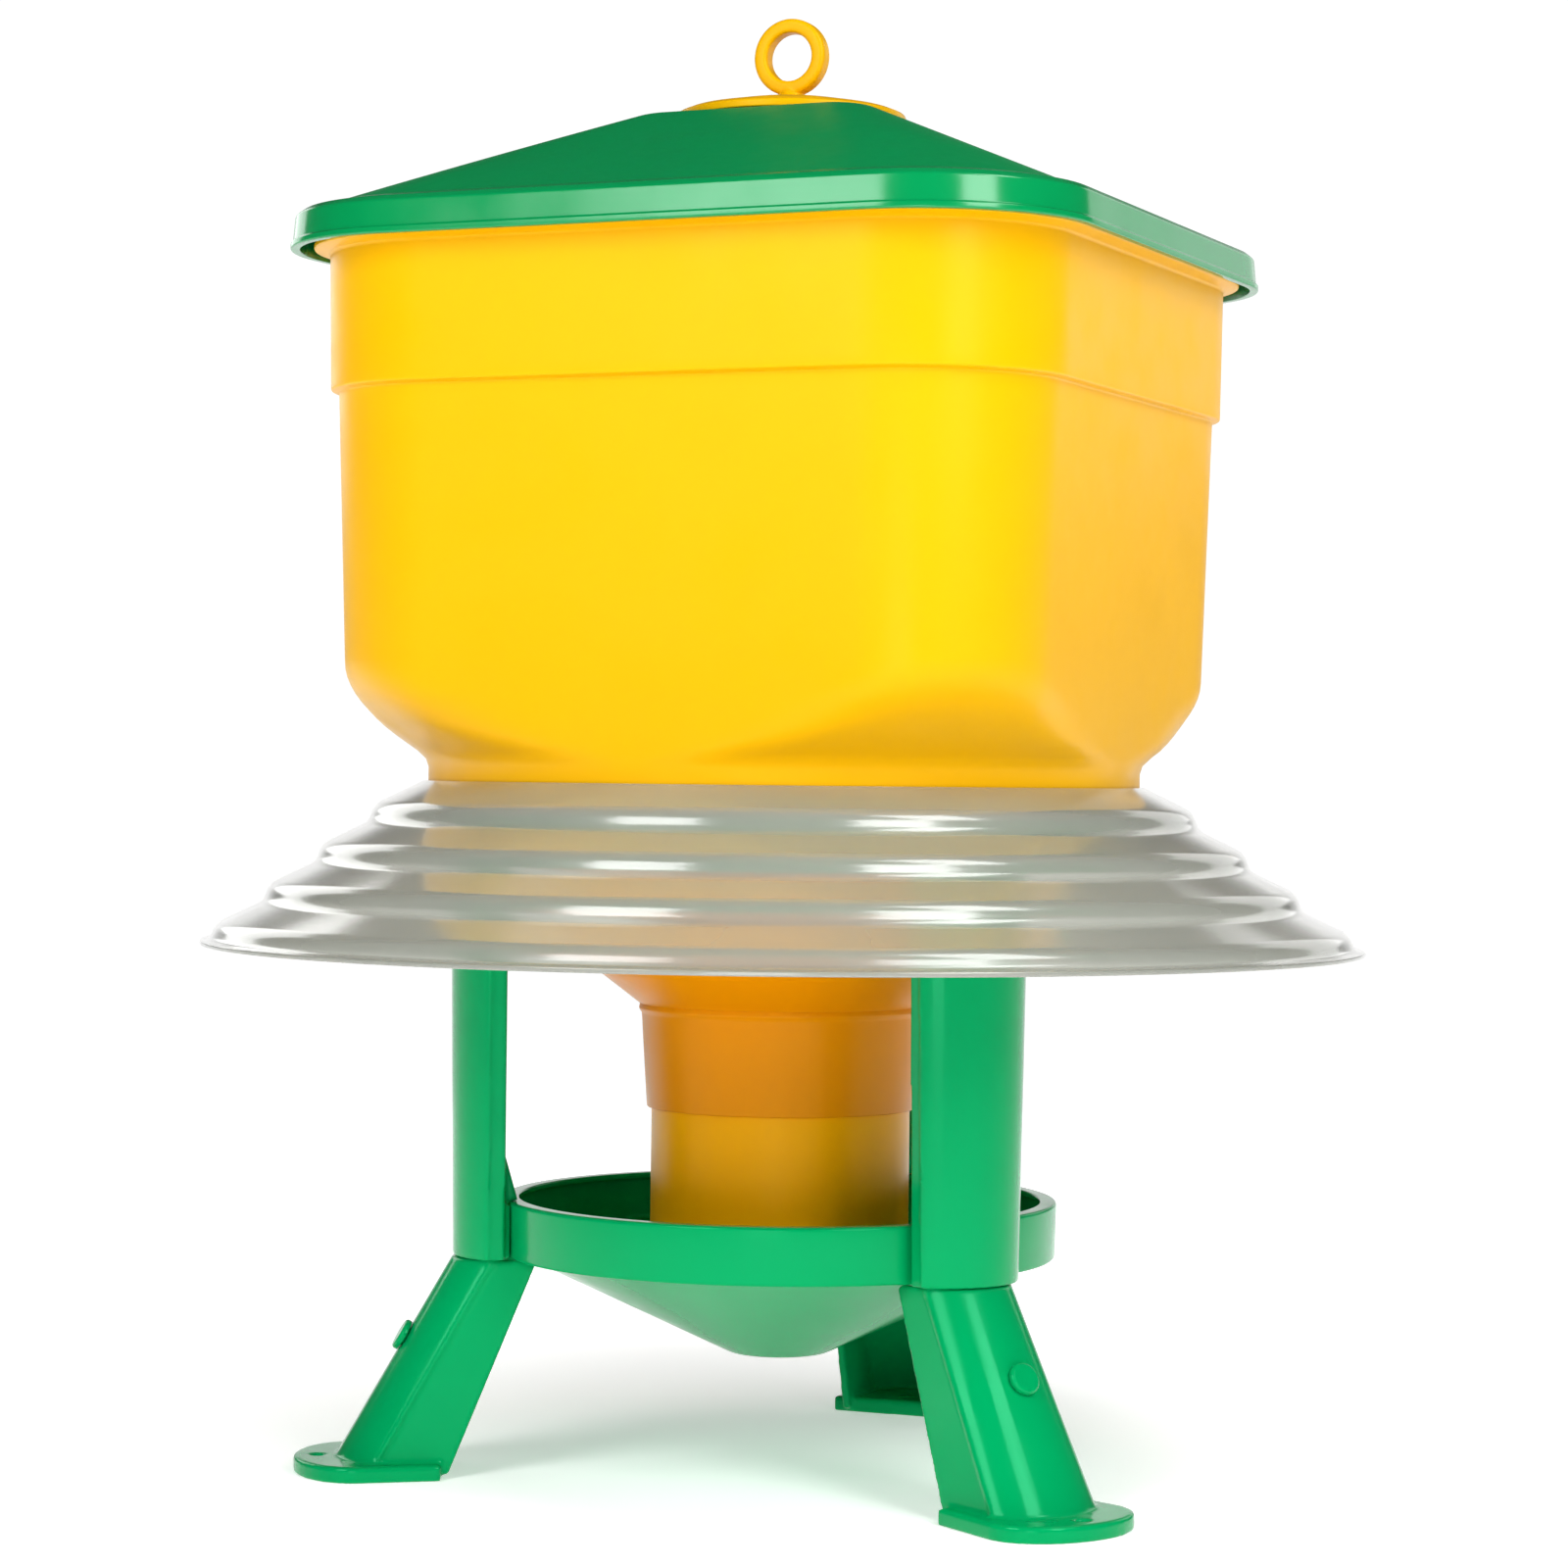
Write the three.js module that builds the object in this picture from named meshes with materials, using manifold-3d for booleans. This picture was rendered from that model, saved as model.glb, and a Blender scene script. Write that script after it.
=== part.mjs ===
// Gravity poultry feeder: a square hopper with a hipped lid stands on a round pan, under a stepped
// rain shield, on three splayed legs. Millimetres, +Z up, origin on the floor under the middle,
// hopper front towards -Y.
import * as THREE from 'three';
import { mergeVertices } from 'three/addons/utils/BufferGeometryUtils.js';
import Module from 'manifold-3d';

const wasm = await Module();
wasm.setup();

// Driving dimensions
const GAP = 0.3; // between pieces that touch
const WALL = 3.5; // moulded plastic wall

const FOOT_THICKNESS = 8;
const LEG_TOP_Z = 107.6;
const POST_TOP_Z = 298;
const COLLAR_Z = 344; // underside of the hopper's round collar
const COLLAR_RADIUS = 180;
const COLLAR_HEIGHT = 13;

const TUB_STRAIGHT = 111; // half length of the flat part of a hopper side
const TUB_FOOT_HALF = 180; // half width of the tub where it meets the collar
const LEDGE_HALF = 186;
const LEDGE_Z = 537;
const BAND_HALF = 190; // half width of the upper band, just above the ledge
const TUB_TOP_HALF = 192;
const TUB_TOP_Z = 618.5;
const TUB_FLANGE_HALF = 199;
const TUB_FLANGE_Z = 606;
const CORNER_CONE_SLOPE = 0.78; // rise over run where the tub's corners run in to the collar

const LID_HALF = 205;
const LID_Z = 605; // lower edge of the lid's skirt
const LID_STRAIGHT = 0.6; // flat part of a lid side at the rim, as a share of its width
const LID_TOP_STRAIGHT = 0.72; // and where the roof meets the cap
const LID_TOP_HALF = 60;
const LID_TOP_Z = 680.7;
const LID_WALL = 3;
const LID_SKIRT = 18;
const CAP_RADIUS = 58.3;
const CAP_THICKNESS = 6.5;
const EYE_OUTER = 19.8;
const EYE_INNER = 10;
const EYE_THICKNESS = 10;
const EYE_STEM_RADIUS = 9;
const EYE_NECK = 7; // from the cap up to the ring

const SHIELD_RADIUS = 293.5;
const SHIELD_RIM_Z = 263;
const SHIELD_WALL = 2.5;
const SHIELD_STEPS = 4;
const SHIELD_FIRST_RISER = 207; // radius and height of the top of the first riser
const SHIELD_FIRST_RISER_Z = 334;
const SHIELD_STEP_RUN = 26;
const SHIELD_STEP_DROP = 20;

const FUNNEL_MOUTH_RADIUS = 160;
const FUNNEL_WAIST_RADIUS = 137;
const FUNNEL_WAIST_Z = 294;
const FUNNEL_SHOULDER_RADIUS = 93;
const FUNNEL_SHOULDER_Z = 250;
const NECK_TOP_Z = 234;
const NECK_BOTTOM_Z = 182;
const NECK_TOP_RADIUS = 71;
const SLEEVE_RADIUS = 65.6;
const SLEEVE_WALL = 2.5;
const SLEEVE_BOTTOM_Z = 92;
const SLEEVE_TOP_Z = 223;
const SLEEVE_CLEARANCE = 0.4;

const PAN_RADIUS = 140.5;
const PAN_TOP_Z = 136.5;
const PAN_BAND_Z = 108;
const PAN_FLOOR_Z = 57.5;
const PAN_FLOOR_RADIUS = 28;
const PAN_LIP = 8.5;

const RING_RADIUS = 170;
const POST_INNER = 141.2;
const POST_SECTION = { shoulder: 149.5, apex: 165.5, halfWidth: 29.5 }; // at the foot of the post
const POST_WIDENING = 0.11; // growth of the section from there up to the ring
const POST_BULGING = 0.16;
const SHOULDER_STEP = 1.5; // the bulged face stands this far proud of the side walls
const GUSSET_HEIGHT = 28;
const GUSSET_REACH = 7;
const GUSSET_HALF_WIDTH = 20;
const LEG_INNER = 124.5;
const LEG_SECTION = { shoulder: 146, apex: 165.5, halfWidth: 25 }; // at the top of the leg
const LEG_SPLAY = 62; // how far the foot of a leg stands out from its top
const LEG_WIDENING = 0.23;
const LEG_DEEPENING = 0.81; // growth of the side walls behind the shoulder
const SPIGOT_HEIGHT = 24;
const SPIGOT_PLAY = 1.2;
const FOOT_INNER = 172;
const FOOT_OUTER = 244;
const FOOT_HALF_WIDTH = 41;
const FOOT_HEEL_HALF_WIDTH = 37;
const PLUG_RADIUS = 8;
const PLUG_HEAD = 3.5;
const PLUG_STEM_RADIUS = 4.5;
const PLUG_Z = 67;

// Degrees round from +X: the hopper sits turned a little on its stand.
const LEG_PLACES = { right: -28.8, rear: 91.2, left: 211.2 };

// Materials
function plastic(colour, roughness) {
  return new THREE.MeshStandardMaterial({ color: colour, roughness, metalness: 0 });
}

const yellowPlastic = () => plastic(0xf8c400, 0.32);
const greenPlastic = () => plastic(0x00944a, 0.35);

function milkyPlastic() {
  const material = plastic(0xb4b2a0, 0.3);
  material.transparent = true;
  material.opacity = 0.75;
  return material;
}

// Solids
function toSolid(geometry) {
  geometry.deleteAttribute('normal');
  geometry.deleteAttribute('uv');
  const merged = mergeVertices(geometry, 1e-3);
  const triangles = [];
  for (let i = 0; i < merged.index.count; i += 3) {
    const [a, b, c] = [0, 1, 2].map((k) => merged.index.getX(i + k));
    if (a !== b && b !== c && c !== a) triangles.push(a, b, c);
  }
  const vertProperties = Float32Array.from(merged.attributes.position.array);
  const triVerts = Uint32Array.from(triangles);
  return new wasm.Manifold(new wasm.Mesh({ numProp: 3, vertProperties, triVerts }));
}

function toGeometry(solid) {
  const { vertProperties, triVerts } = solid.getMesh();
  const geometry = new THREE.BufferGeometry();
  geometry.setAttribute('position', new THREE.BufferAttribute(vertProperties, 3));
  geometry.setIndex(new THREE.BufferAttribute(triVerts, 1));
  geometry.computeVertexNormals();
  return geometry;
}

function piece(name, solid, material) {
  const mesh = new THREE.Mesh(toGeometry(solid), material);
  mesh.name = name;
  return mesh;
}

// A profile is a list of [radius, z], anticlockwise: outwards along the bottom, up the outside.
function latheGeometry(profile, segments) {
  const points = profile.map(([radius, z]) => new THREE.Vector2(radius, z));
  const closed = points[0].x > 0 || points[points.length - 1].x > 0;
  if (closed) points.push(points[0].clone());
  return { geometry: new THREE.LatheGeometry(points, segments), rows: points.length };
}

function lathe(profile, segments = 48) {
  const { geometry } = latheGeometry(profile, segments);
  return toSolid(geometry.rotateX(Math.PI / 2));
}

// One corner's points of a square with round corners, as directions and straight parts:
// a lathed column k stands at the end of the flat side plus the corner radius along its direction.
const CORNER_STEPS = 6;
const SQUARE_COLUMNS = 4 * (CORNER_STEPS + 1);

function squarePoint(column, half, straight) {
  const corner = Math.floor(column / (CORNER_STEPS + 1)) % 4;
  const turn = (column % (CORNER_STEPS + 1)) / CORNER_STEPS;
  const quarter = (corner * Math.PI) / 2;
  const angle = quarter + (turn * Math.PI) / 2;
  const centre = new THREE.Vector2(straight, straight).rotateAround(new THREE.Vector2(), quarter);
  const radius = half - straight;
  return [centre.x + radius * Math.cos(angle), centre.y + radius * Math.sin(angle)];
}

// A lathe whose rows are squares with round corners: a row's radius is its half width.
function squareLathe(profile, straightOf) {
  const { geometry, rows } = latheGeometry(profile, SQUARE_COLUMNS);
  const position = geometry.attributes.position;
  for (let i = 0; i < position.count; i += 1) {
    const column = Math.floor(i / rows) % SQUARE_COLUMNS;
    const half = Math.hypot(position.getX(i), position.getZ(i));
    const [x, y] = squarePoint(column, half, straightOf(half));
    position.setXYZ(i, x, y, position.getY(i));
  }
  return toSolid(geometry);
}

function plate(shape, thickness, bottomZ, holes = []) {
  holes.forEach(([x, y, radius]) => shape.holes.push(new THREE.Path().absarc(x, y, radius, 0, 2 * Math.PI)));
  const options = { depth: thickness, bevelEnabled: false, curveSegments: 10 };
  return toSolid(new THREE.ExtrudeGeometry(shape, options).translate(0, 0, bottomZ));
}

function cylinder(radius, fromZ, toZ, segments = 32) {
  return lathe([[0, fromZ], [radius, fromZ], [radius, toZ], [0, toZ]], segments);
}

// Lid, cap and hanging eye
function lidSolid() {
  const skirtTop = LID_Z + LID_SKIRT;
  const shoulder = LID_HALF - 14;
  const profile = [
    [0, LID_TOP_Z - LID_WALL],
    [LID_TOP_HALF, LID_TOP_Z - LID_WALL],
    [shoulder, skirtTop],
    [LID_HALF - 5, skirtTop - LID_WALL],
    [LID_HALF - LID_WALL, LID_Z],
    [LID_HALF, LID_Z],
    [LID_HALF + 1, LID_Z + 2],
    [LID_HALF, LID_Z + 4],
    [LID_HALF - 1, skirtTop - 2],
    [LID_HALF - 3, skirtTop],
    [shoulder, skirtTop + LID_WALL],
    [LID_TOP_HALF, LID_TOP_Z],
    [0, LID_TOP_Z],
  ];
  const straightShare = (half) => THREE.MathUtils.mapLinear(
    half, LID_HALF, LID_TOP_HALF, LID_STRAIGHT, LID_TOP_STRAIGHT,
  );
  const roof = squareLathe(profile, (half) => half * straightShare(half));
  return roof.subtract(cylinder(EYE_STEM_RADIUS + GAP, LID_TOP_Z - 20, LID_TOP_Z + 20));
}

function capSolid() {
  const bottom = LID_TOP_Z + GAP;
  const top = bottom + CAP_THICKNESS;
  const bore = EYE_STEM_RADIUS + GAP;
  return lathe([
    [bore, bottom],
    [CAP_RADIUS - 1, bottom],
    [CAP_RADIUS, bottom + 1],
    [CAP_RADIUS, top - 2],
    [CAP_RADIUS - 2, top],
    [bore, top],
  ], 48);
}

function eyeSolid() {
  const capTop = LID_TOP_Z + GAP + CAP_THICKNESS;
  const centreZ = capTop + EYE_NECK + EYE_OUTER;
  const half = EYE_THICKNESS / 2;
  const ringProfile = [
    [EYE_INNER, -half + 2],
    [EYE_INNER + 2, -half],
    [EYE_OUTER - 2, -half],
    [EYE_OUTER, -half + 2],
    [EYE_OUTER, half - 2],
    [EYE_OUTER - 2, half],
    [EYE_INNER + 2, half],
    [EYE_INNER, half - 2],
  ];
  const ring = lathe(ringProfile, 32).rotate([90, 0, 0]).translate([0, 0, centreZ]);
  const headTop = LID_TOP_Z - LID_WALL - GAP;
  const stem = lathe([
    [0, headTop - 5],
    [EYE_STEM_RADIUS + 4, headTop - 5],
    [EYE_STEM_RADIUS + 4, headTop],
    [EYE_STEM_RADIUS, headTop],
    [EYE_STEM_RADIUS, capTop + GAP],
    [EYE_STEM_RADIUS + 3, capTop + GAP],
    [EYE_STEM_RADIUS + 3, capTop + 3],
    [EYE_STEM_RADIUS - 2, capTop + EYE_NECK - 1],
    [EYE_STEM_RADIUS - 3, capTop + EYE_NECK + 4],
    [0, capTop + EYE_NECK + 4],
  ], 24);
  return ring.add(stem);
}

// Hopper
function tubBody(inset) {
  const bottom = COLLAR_Z + (inset > 0 ? WALL : 0);
  const top = TUB_TOP_Z + (inset > 0 ? 1 : 0);
  const square = squareLathe([
    [0, bottom],
    [TUB_FOOT_HALF - inset, bottom],
    [LEDGE_HALF - inset, LEDGE_Z],
    [BAND_HALF - inset, LEDGE_Z + 1],
    [TUB_TOP_HALF - inset, top],
    [0, top],
  ], (half) => Math.min(TUB_STRAIGHT, half * 0.9));
  const reach = 150;
  const coneFoot = COLLAR_Z + COLLAR_HEIGHT;
  const corner = lathe([
    [0, bottom],
    [COLLAR_RADIUS - inset, bottom],
    [COLLAR_RADIUS - inset, coneFoot],
    [COLLAR_RADIUS - inset + reach, coneFoot + reach * CORNER_CONE_SLOPE],
    [COLLAR_RADIUS - inset + reach, top],
    [0, top],
  ], 64);
  const collar = cylinder(COLLAR_RADIUS - inset, bottom, coneFoot, 64);
  return square.intersect(corner).add(collar);
}

function tubSolid() {
  const flange = squareLathe([
    [TUB_TOP_HALF - 1, TUB_FLANGE_Z],
    [TUB_FLANGE_HALF, TUB_FLANGE_Z],
    [TUB_FLANGE_HALF, TUB_FLANGE_Z + 3],
    [TUB_TOP_HALF - 1, TUB_FLANGE_Z + 3],
  ], () => TUB_STRAIGHT);
  const mouth = cylinder(FUNNEL_MOUTH_RADIUS + 1, COLLAR_Z - 5, COLLAR_Z + 10, 64);
  return tubBody(0).add(flange).subtract(tubBody(WALL)).subtract(mouth);
}

function neckSolid() {
  const bore = SLEEVE_RADIUS + SLEEVE_CLEARANCE;
  return lathe([
    [bore, NECK_BOTTOM_Z],
    [bore + 2, NECK_BOTTOM_Z],
    [NECK_TOP_RADIUS, NECK_TOP_Z - 3],
    [NECK_TOP_RADIUS + 2, NECK_TOP_Z - 1.5],
    [NECK_TOP_RADIUS + 1.5, NECK_TOP_Z],
    [bore, NECK_TOP_Z],
  ]);
}

function funnelSolid() {
  const flangeZ = COLLAR_Z + WALL + GAP;
  const wall = 3;
  const bore = SLEEVE_RADIUS + SLEEVE_CLEARANCE;
  return lathe([
    [bore, NECK_TOP_Z + GAP],
    [NECK_TOP_RADIUS + 1, NECK_TOP_Z + GAP],
    [FUNNEL_SHOULDER_RADIUS, FUNNEL_SHOULDER_Z],
    [FUNNEL_WAIST_RADIUS, FUNNEL_WAIST_Z],
    [FUNNEL_MOUTH_RADIUS, flangeZ],
    [COLLAR_RADIUS - WALL - 1, flangeZ],
    [COLLAR_RADIUS - WALL - 1, flangeZ + wall],
    [FUNNEL_MOUTH_RADIUS - 2, flangeZ + wall],
    [FUNNEL_WAIST_RADIUS - wall, FUNNEL_WAIST_Z + 2],
    [FUNNEL_SHOULDER_RADIUS - wall, FUNNEL_SHOULDER_Z + wall],
    [bore, NECK_TOP_Z + wall],
  ]);
}

function sleeveSolid() {
  const inner = SLEEVE_RADIUS - SLEEVE_WALL;
  return lathe([
    [inner, SLEEVE_BOTTOM_Z],
    [SLEEVE_RADIUS, SLEEVE_BOTTOM_Z],
    [SLEEVE_RADIUS, SLEEVE_TOP_Z],
    [inner, SLEEVE_TOP_Z],
  ]);
}

// Rain shield: four steps, each a shallow slope and a steep riser, down to an outward lip
function shieldOutline(drop) {
  const points = [[COLLAR_RADIUS + 2, COLLAR_Z + 2 - drop]];
  for (let step = 0; step < SHIELD_STEPS; step += 1) {
    const radius = SHIELD_FIRST_RISER + step * SHIELD_STEP_RUN;
    const z = SHIELD_FIRST_RISER_Z - step * SHIELD_STEP_DROP - drop;
    points.push([radius - 6, z + 3.5], [radius, z], [radius + 3, z - 9]);
  }
  points.pop();
  points.push([SHIELD_RADIUS - 5, SHIELD_RIM_Z + 3 - drop]);
  points.push([SHIELD_RADIUS, SHIELD_RIM_Z + SHIELD_WALL - drop]);
  return points;
}

function shieldSolid() {
  const hole = FUNNEL_MOUTH_RADIUS + 1;
  const top = COLLAR_Z - GAP;
  const lip = COLLAR_RADIUS + 2 * GAP;
  const upper = [[hole, top], [lip, top], [lip, COLLAR_Z + 2], ...shieldOutline(0)].reverse();
  const lower = [[hole, top - SHIELD_WALL], ...shieldOutline(SHIELD_WALL)];
  return lathe([...lower, ...upper], 64);
}

// Stand
function ringSolid() {
  const top = COLLAR_Z - 2 * GAP - SHIELD_WALL;
  const bottom = POST_TOP_Z + GAP;
  const inner = RING_RADIUS - WALL;
  return lathe([
    [POST_INNER, bottom],
    [RING_RADIUS, bottom],
    [RING_RADIUS, top],
    [FUNNEL_MOUTH_RADIUS + 1, top],
    [FUNNEL_MOUTH_RADIUS + 1, top - 3],
    [inner, top - 3],
    [inner, bottom + 3],
    [POST_INNER, bottom + 3],
  ]);
}

function panSolid() {
  const coneRadius = PAN_RADIUS - 9.5;
  const inner = PAN_RADIUS - WALL;
  const wall = WALL - 0.5;
  return lathe([
    [0, PAN_FLOOR_Z],
    [PAN_FLOOR_RADIUS - 6, PAN_FLOOR_Z],
    [PAN_FLOOR_RADIUS, PAN_FLOOR_Z + 1.5],
    [coneRadius, PAN_BAND_Z],
    [PAN_RADIUS, PAN_BAND_Z],
    [PAN_RADIUS, PAN_TOP_Z],
    [PAN_RADIUS - PAN_LIP, PAN_TOP_Z],
    [PAN_RADIUS - PAN_LIP, PAN_TOP_Z - 3],
    [inner, PAN_TOP_Z - 3],
    [inner, PAN_BAND_Z + WALL],
    [coneRadius - 1, PAN_BAND_Z + WALL],
    [PAN_FLOOR_RADIUS, PAN_FLOOR_Z + 1.5 + WALL],
    [PAN_FLOOR_RADIUS - 7, PAN_FLOOR_Z + wall],
    [0, PAN_FLOOR_Z + wall],
  ], 60);
}

// Plan outline of a post or leg, x outwards: straight sides, a small step, then the bulged face.
function bulge(path, shoulder, apex, halfWidth, clockwise) {
  const rise = apex - shoulder;
  const radius = (halfWidth ** 2 + rise ** 2) / (2 * rise);
  const reach = Math.asin(halfWidth / radius);
  const ends = clockwise ? [reach, -reach] : [-reach, reach];
  path.absarc(apex - radius, 0, radius, ...ends, clockwise);
}

function outerOutline({ shoulder, apex, halfWidth }, inner, inset) {
  const shape = new THREE.Shape();
  const side = halfWidth - inset;
  shape.moveTo(inner, -side);
  shape.lineTo(shoulder, -side);
  bulge(shape, shoulder, apex - inset, side + SHOULDER_STEP, false);
  shape.lineTo(shoulder, side);
  shape.lineTo(inner, side);
  return shape;
}

function channelOutline(section, inner, inset) {
  const shape = outerOutline(section, inner, inset);
  const side = section.halfWidth - inset - WALL;
  shape.lineTo(inner, side);
  bulge(shape, section.shoulder, section.apex - inset - WALL, side, true);
  shape.lineTo(inner, -side);
  return shape;
}

// A straight extrusion of an outline, then reshaped point by point
function shaped(outline, fromZ, toZ, reshape) {
  const options = { depth: toZ - fromZ, bevelEnabled: false, curveSegments: 10 };
  const geometry = new THREE.ExtrudeGeometry(outline, options).translate(0, 0, fromZ);
  const position = geometry.attributes.position;
  for (let i = 0; i < position.count; i += 1) {
    position.setXYZ(i, ...reshape(position.getX(i), position.getY(i), position.getZ(i)));
  }
  return toSolid(geometry);
}

function flared(x, y, z) {
  const share = (z - LEG_TOP_Z) / (POST_TOP_Z - LEG_TOP_Z);
  const bulging = Math.max(0, x - POST_SECTION.shoulder) * POST_BULGING * share;
  return [x + bulging, y * (1 + POST_WIDENING * share), z];
}

function postSolid() {
  const bottom = LEG_TOP_Z + GAP;
  const shell = shaped(outerOutline(POST_SECTION, POST_INNER, 0), bottom, POST_TOP_Z, flared);
  const inside = outerOutline(POST_SECTION, POST_INNER + WALL, WALL);
  const core = shaped(inside, bottom - 10, POST_TOP_Z + 10, flared);
  return shell.subtract(core).add(gussetSolid());
}

// A wedge inside the foot of each post, leaning over the rim of the pan
function gussetSolid() {
  const shape = new THREE.Shape();
  shape.moveTo(POST_INNER + 1, 0);
  shape.lineTo(POST_INNER + 1, GUSSET_HEIGHT);
  shape.lineTo(POST_INNER - GUSSET_REACH, 0);
  const width = 2 * GUSSET_HALF_WIDTH;
  const wedge = plate(shape, width, -GUSSET_HALF_WIDTH);
  return wedge.rotate([90, 0, 0]).translate([0, 0, PAN_TOP_Z + GAP]);
}

function splayed(x, y, z) {
  const share = (LEG_TOP_Z - z) / LEG_TOP_Z;
  const deepening = Math.min(0, x - LEG_SECTION.shoulder) * LEG_DEEPENING * share;
  return [x + deepening + LEG_SPLAY * share, y * (1 + LEG_WIDENING * share), z];
}

function footShape() {
  const shape = new THREE.Shape();
  const centre = FOOT_OUTER - 30;
  shape.moveTo(FOOT_INNER, -FOOT_HEEL_HALF_WIDTH);
  shape.lineTo(centre, -FOOT_HALF_WIDTH);
  shape.absellipse(centre, 0, FOOT_OUTER - centre, FOOT_HALF_WIDTH, -Math.PI / 2, Math.PI / 2, false);
  shape.lineTo(FOOT_INNER, FOOT_HEEL_HALF_WIDTH);
  return shape;
}

// The plug stands square to the slanted apex line of a leg.
function plugFrame(solid) {
  const tilt = (Math.atan2(LEG_SPLAY, LEG_TOP_Z) * 180) / Math.PI;
  const [x] = splayed(LEG_SECTION.apex, 0, PLUG_Z);
  return solid.rotate([0, 90 - tilt, 0]).translate([x, 0, PLUG_Z]);
}

function legSolid() {
  const channel = shaped(channelOutline(LEG_SECTION, LEG_INNER, 0), 2, LEG_TOP_Z, splayed);
  const foot = plate(footShape(), FOOT_THICKNESS, 0, [[FOOT_OUTER - 12, 0, 3]]);
  const inset = WALL + SPIGOT_PLAY;
  const spigotOutline = channelOutline(POST_SECTION, POST_INNER + inset, inset);
  const spigot = plate(spigotOutline, SPIGOT_HEIGHT + 3, LEG_TOP_Z - 3);
  const web = plate(outerOutline(LEG_SECTION, POST_INNER, 0.5), 3, LEG_TOP_Z - 3);
  const hole = plugFrame(cylinder(PLUG_STEM_RADIUS + GAP, -15, 15, 20));
  const panRoom = lathe([
    [0, PAN_FLOOR_Z],
    [PAN_FLOOR_RADIUS + 2, PAN_FLOOR_Z],
    [PAN_RADIUS - 8, PAN_BAND_Z - GAP],
    [PAN_RADIUS + GAP, PAN_BAND_Z - GAP],
    [PAN_RADIUS + GAP, PAN_TOP_Z + 5],
    [0, PAN_TOP_Z + 5],
  ]);
  return channel.add(foot).add(web).add(spigot).subtract(hole).subtract(panRoom);
}

function plugSolid() {
  const plug = lathe([
    [0, -8],
    [PLUG_STEM_RADIUS, -8],
    [PLUG_STEM_RADIUS, GAP],
    [PLUG_RADIUS, GAP],
    [PLUG_RADIUS, PLUG_HEAD - 1],
    [PLUG_RADIUS - 1, PLUG_HEAD],
    [0, PLUG_HEAD],
  ], 24);
  return plugFrame(plug);
}

function standCorner(place, degrees) {
  const corner = new THREE.Group();
  corner.rotation.z = THREE.MathUtils.degToRad(degrees);
  corner.add(piece(`post_${place}`, postSolid(), greenPlastic()));
  corner.add(piece(`leg_${place}`, legSolid(), greenPlastic()));
  corner.add(piece(`leg_plug_${place}`, plugSolid(), greenPlastic()));
  return corner;
}

function feeder() {
  const group = new THREE.Group();
  group.add(piece('lid', lidSolid(), greenPlastic()));
  group.add(piece('lid_cap', capSolid(), yellowPlastic()));
  group.add(piece('hanging_eye', eyeSolid(), yellowPlastic()));
  group.add(piece('hopper_tub', tubSolid(), yellowPlastic()));
  group.add(piece('feed_funnel', funnelSolid(), yellowPlastic()));
  group.add(piece('feed_neck', neckSolid(), yellowPlastic()));
  group.add(piece('feed_sleeve', sleeveSolid(), yellowPlastic()));
  group.add(piece('rain_shield', shieldSolid(), milkyPlastic()));
  group.add(piece('support_ring', ringSolid(), greenPlastic()));
  group.add(piece('feed_pan', panSolid(), greenPlastic()));
  Object.entries(LEG_PLACES).forEach(([place, degrees]) => group.add(standCorner(place, degrees)));
  return group;
}

export default feeder();
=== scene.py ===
"""Gravity poultry feeder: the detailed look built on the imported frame. Metres, +Z up."""

import math

import bmesh
import bpy
from mathutils import Matrix, Vector


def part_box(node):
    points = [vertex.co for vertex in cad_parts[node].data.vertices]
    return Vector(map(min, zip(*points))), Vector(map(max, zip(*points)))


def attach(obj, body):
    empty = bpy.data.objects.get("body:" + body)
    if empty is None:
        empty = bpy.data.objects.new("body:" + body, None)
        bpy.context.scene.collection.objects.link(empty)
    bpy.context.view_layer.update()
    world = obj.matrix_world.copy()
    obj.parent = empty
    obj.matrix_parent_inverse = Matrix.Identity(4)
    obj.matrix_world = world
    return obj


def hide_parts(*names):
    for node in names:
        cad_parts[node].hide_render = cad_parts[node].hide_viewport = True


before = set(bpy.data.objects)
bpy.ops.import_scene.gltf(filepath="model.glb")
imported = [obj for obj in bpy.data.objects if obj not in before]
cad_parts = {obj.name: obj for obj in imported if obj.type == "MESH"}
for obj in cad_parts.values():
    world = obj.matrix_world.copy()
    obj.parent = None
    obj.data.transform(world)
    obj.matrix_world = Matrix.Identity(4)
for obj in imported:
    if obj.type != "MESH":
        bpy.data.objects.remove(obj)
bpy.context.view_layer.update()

MM = 0.001
LEG_PLACES = ("right", "rear", "left")

# Camera: level with the shield, turned towards the hopper's front right corner
CAMERA_AZIMUTH = math.radians(23.6)
CAMERA_DISTANCE = 2.025
CAMERA_HEIGHT = 0.3534
CAMERA_PITCH = math.radians(-0.21)
CAMERA_ROLL = math.radians(0.627)
CAMERA_LENS = 91.5
CAMERA_SENSOR = 36

# Hopper
WALL = 3.5 * MM
LIP_RADIUS = 161 * MM
TUB_STRAIGHT = 111 * MM
TUB_FOOT_HALF = 180 * MM
LEDGE_HALF = 186 * MM
LEDGE_HEIGHT = 535.8 * MM
BAND_HALF = 190 * MM
TUB_TOP_HALF = 192 * MM
FLANGE_HEIGHT = 606 * MM
COLLAR_HEIGHT = 13 * MM
CORNER_CONE_SLOPE = 0.7
CORNER_BLEND = 20 * MM
CORNER_BLEND_RISE = 22 * MM
COLLAR_FILLET = 4 * MM

# Funnel, neck and sleeve
NECK_TOP_RADIUS = 72 * MM
FUNNEL_BEND_RADIUS = 93 * MM
SLEEVE_WALL = 2.5 * MM
SLIDING_PLAY = 0.4 * MM

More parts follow.
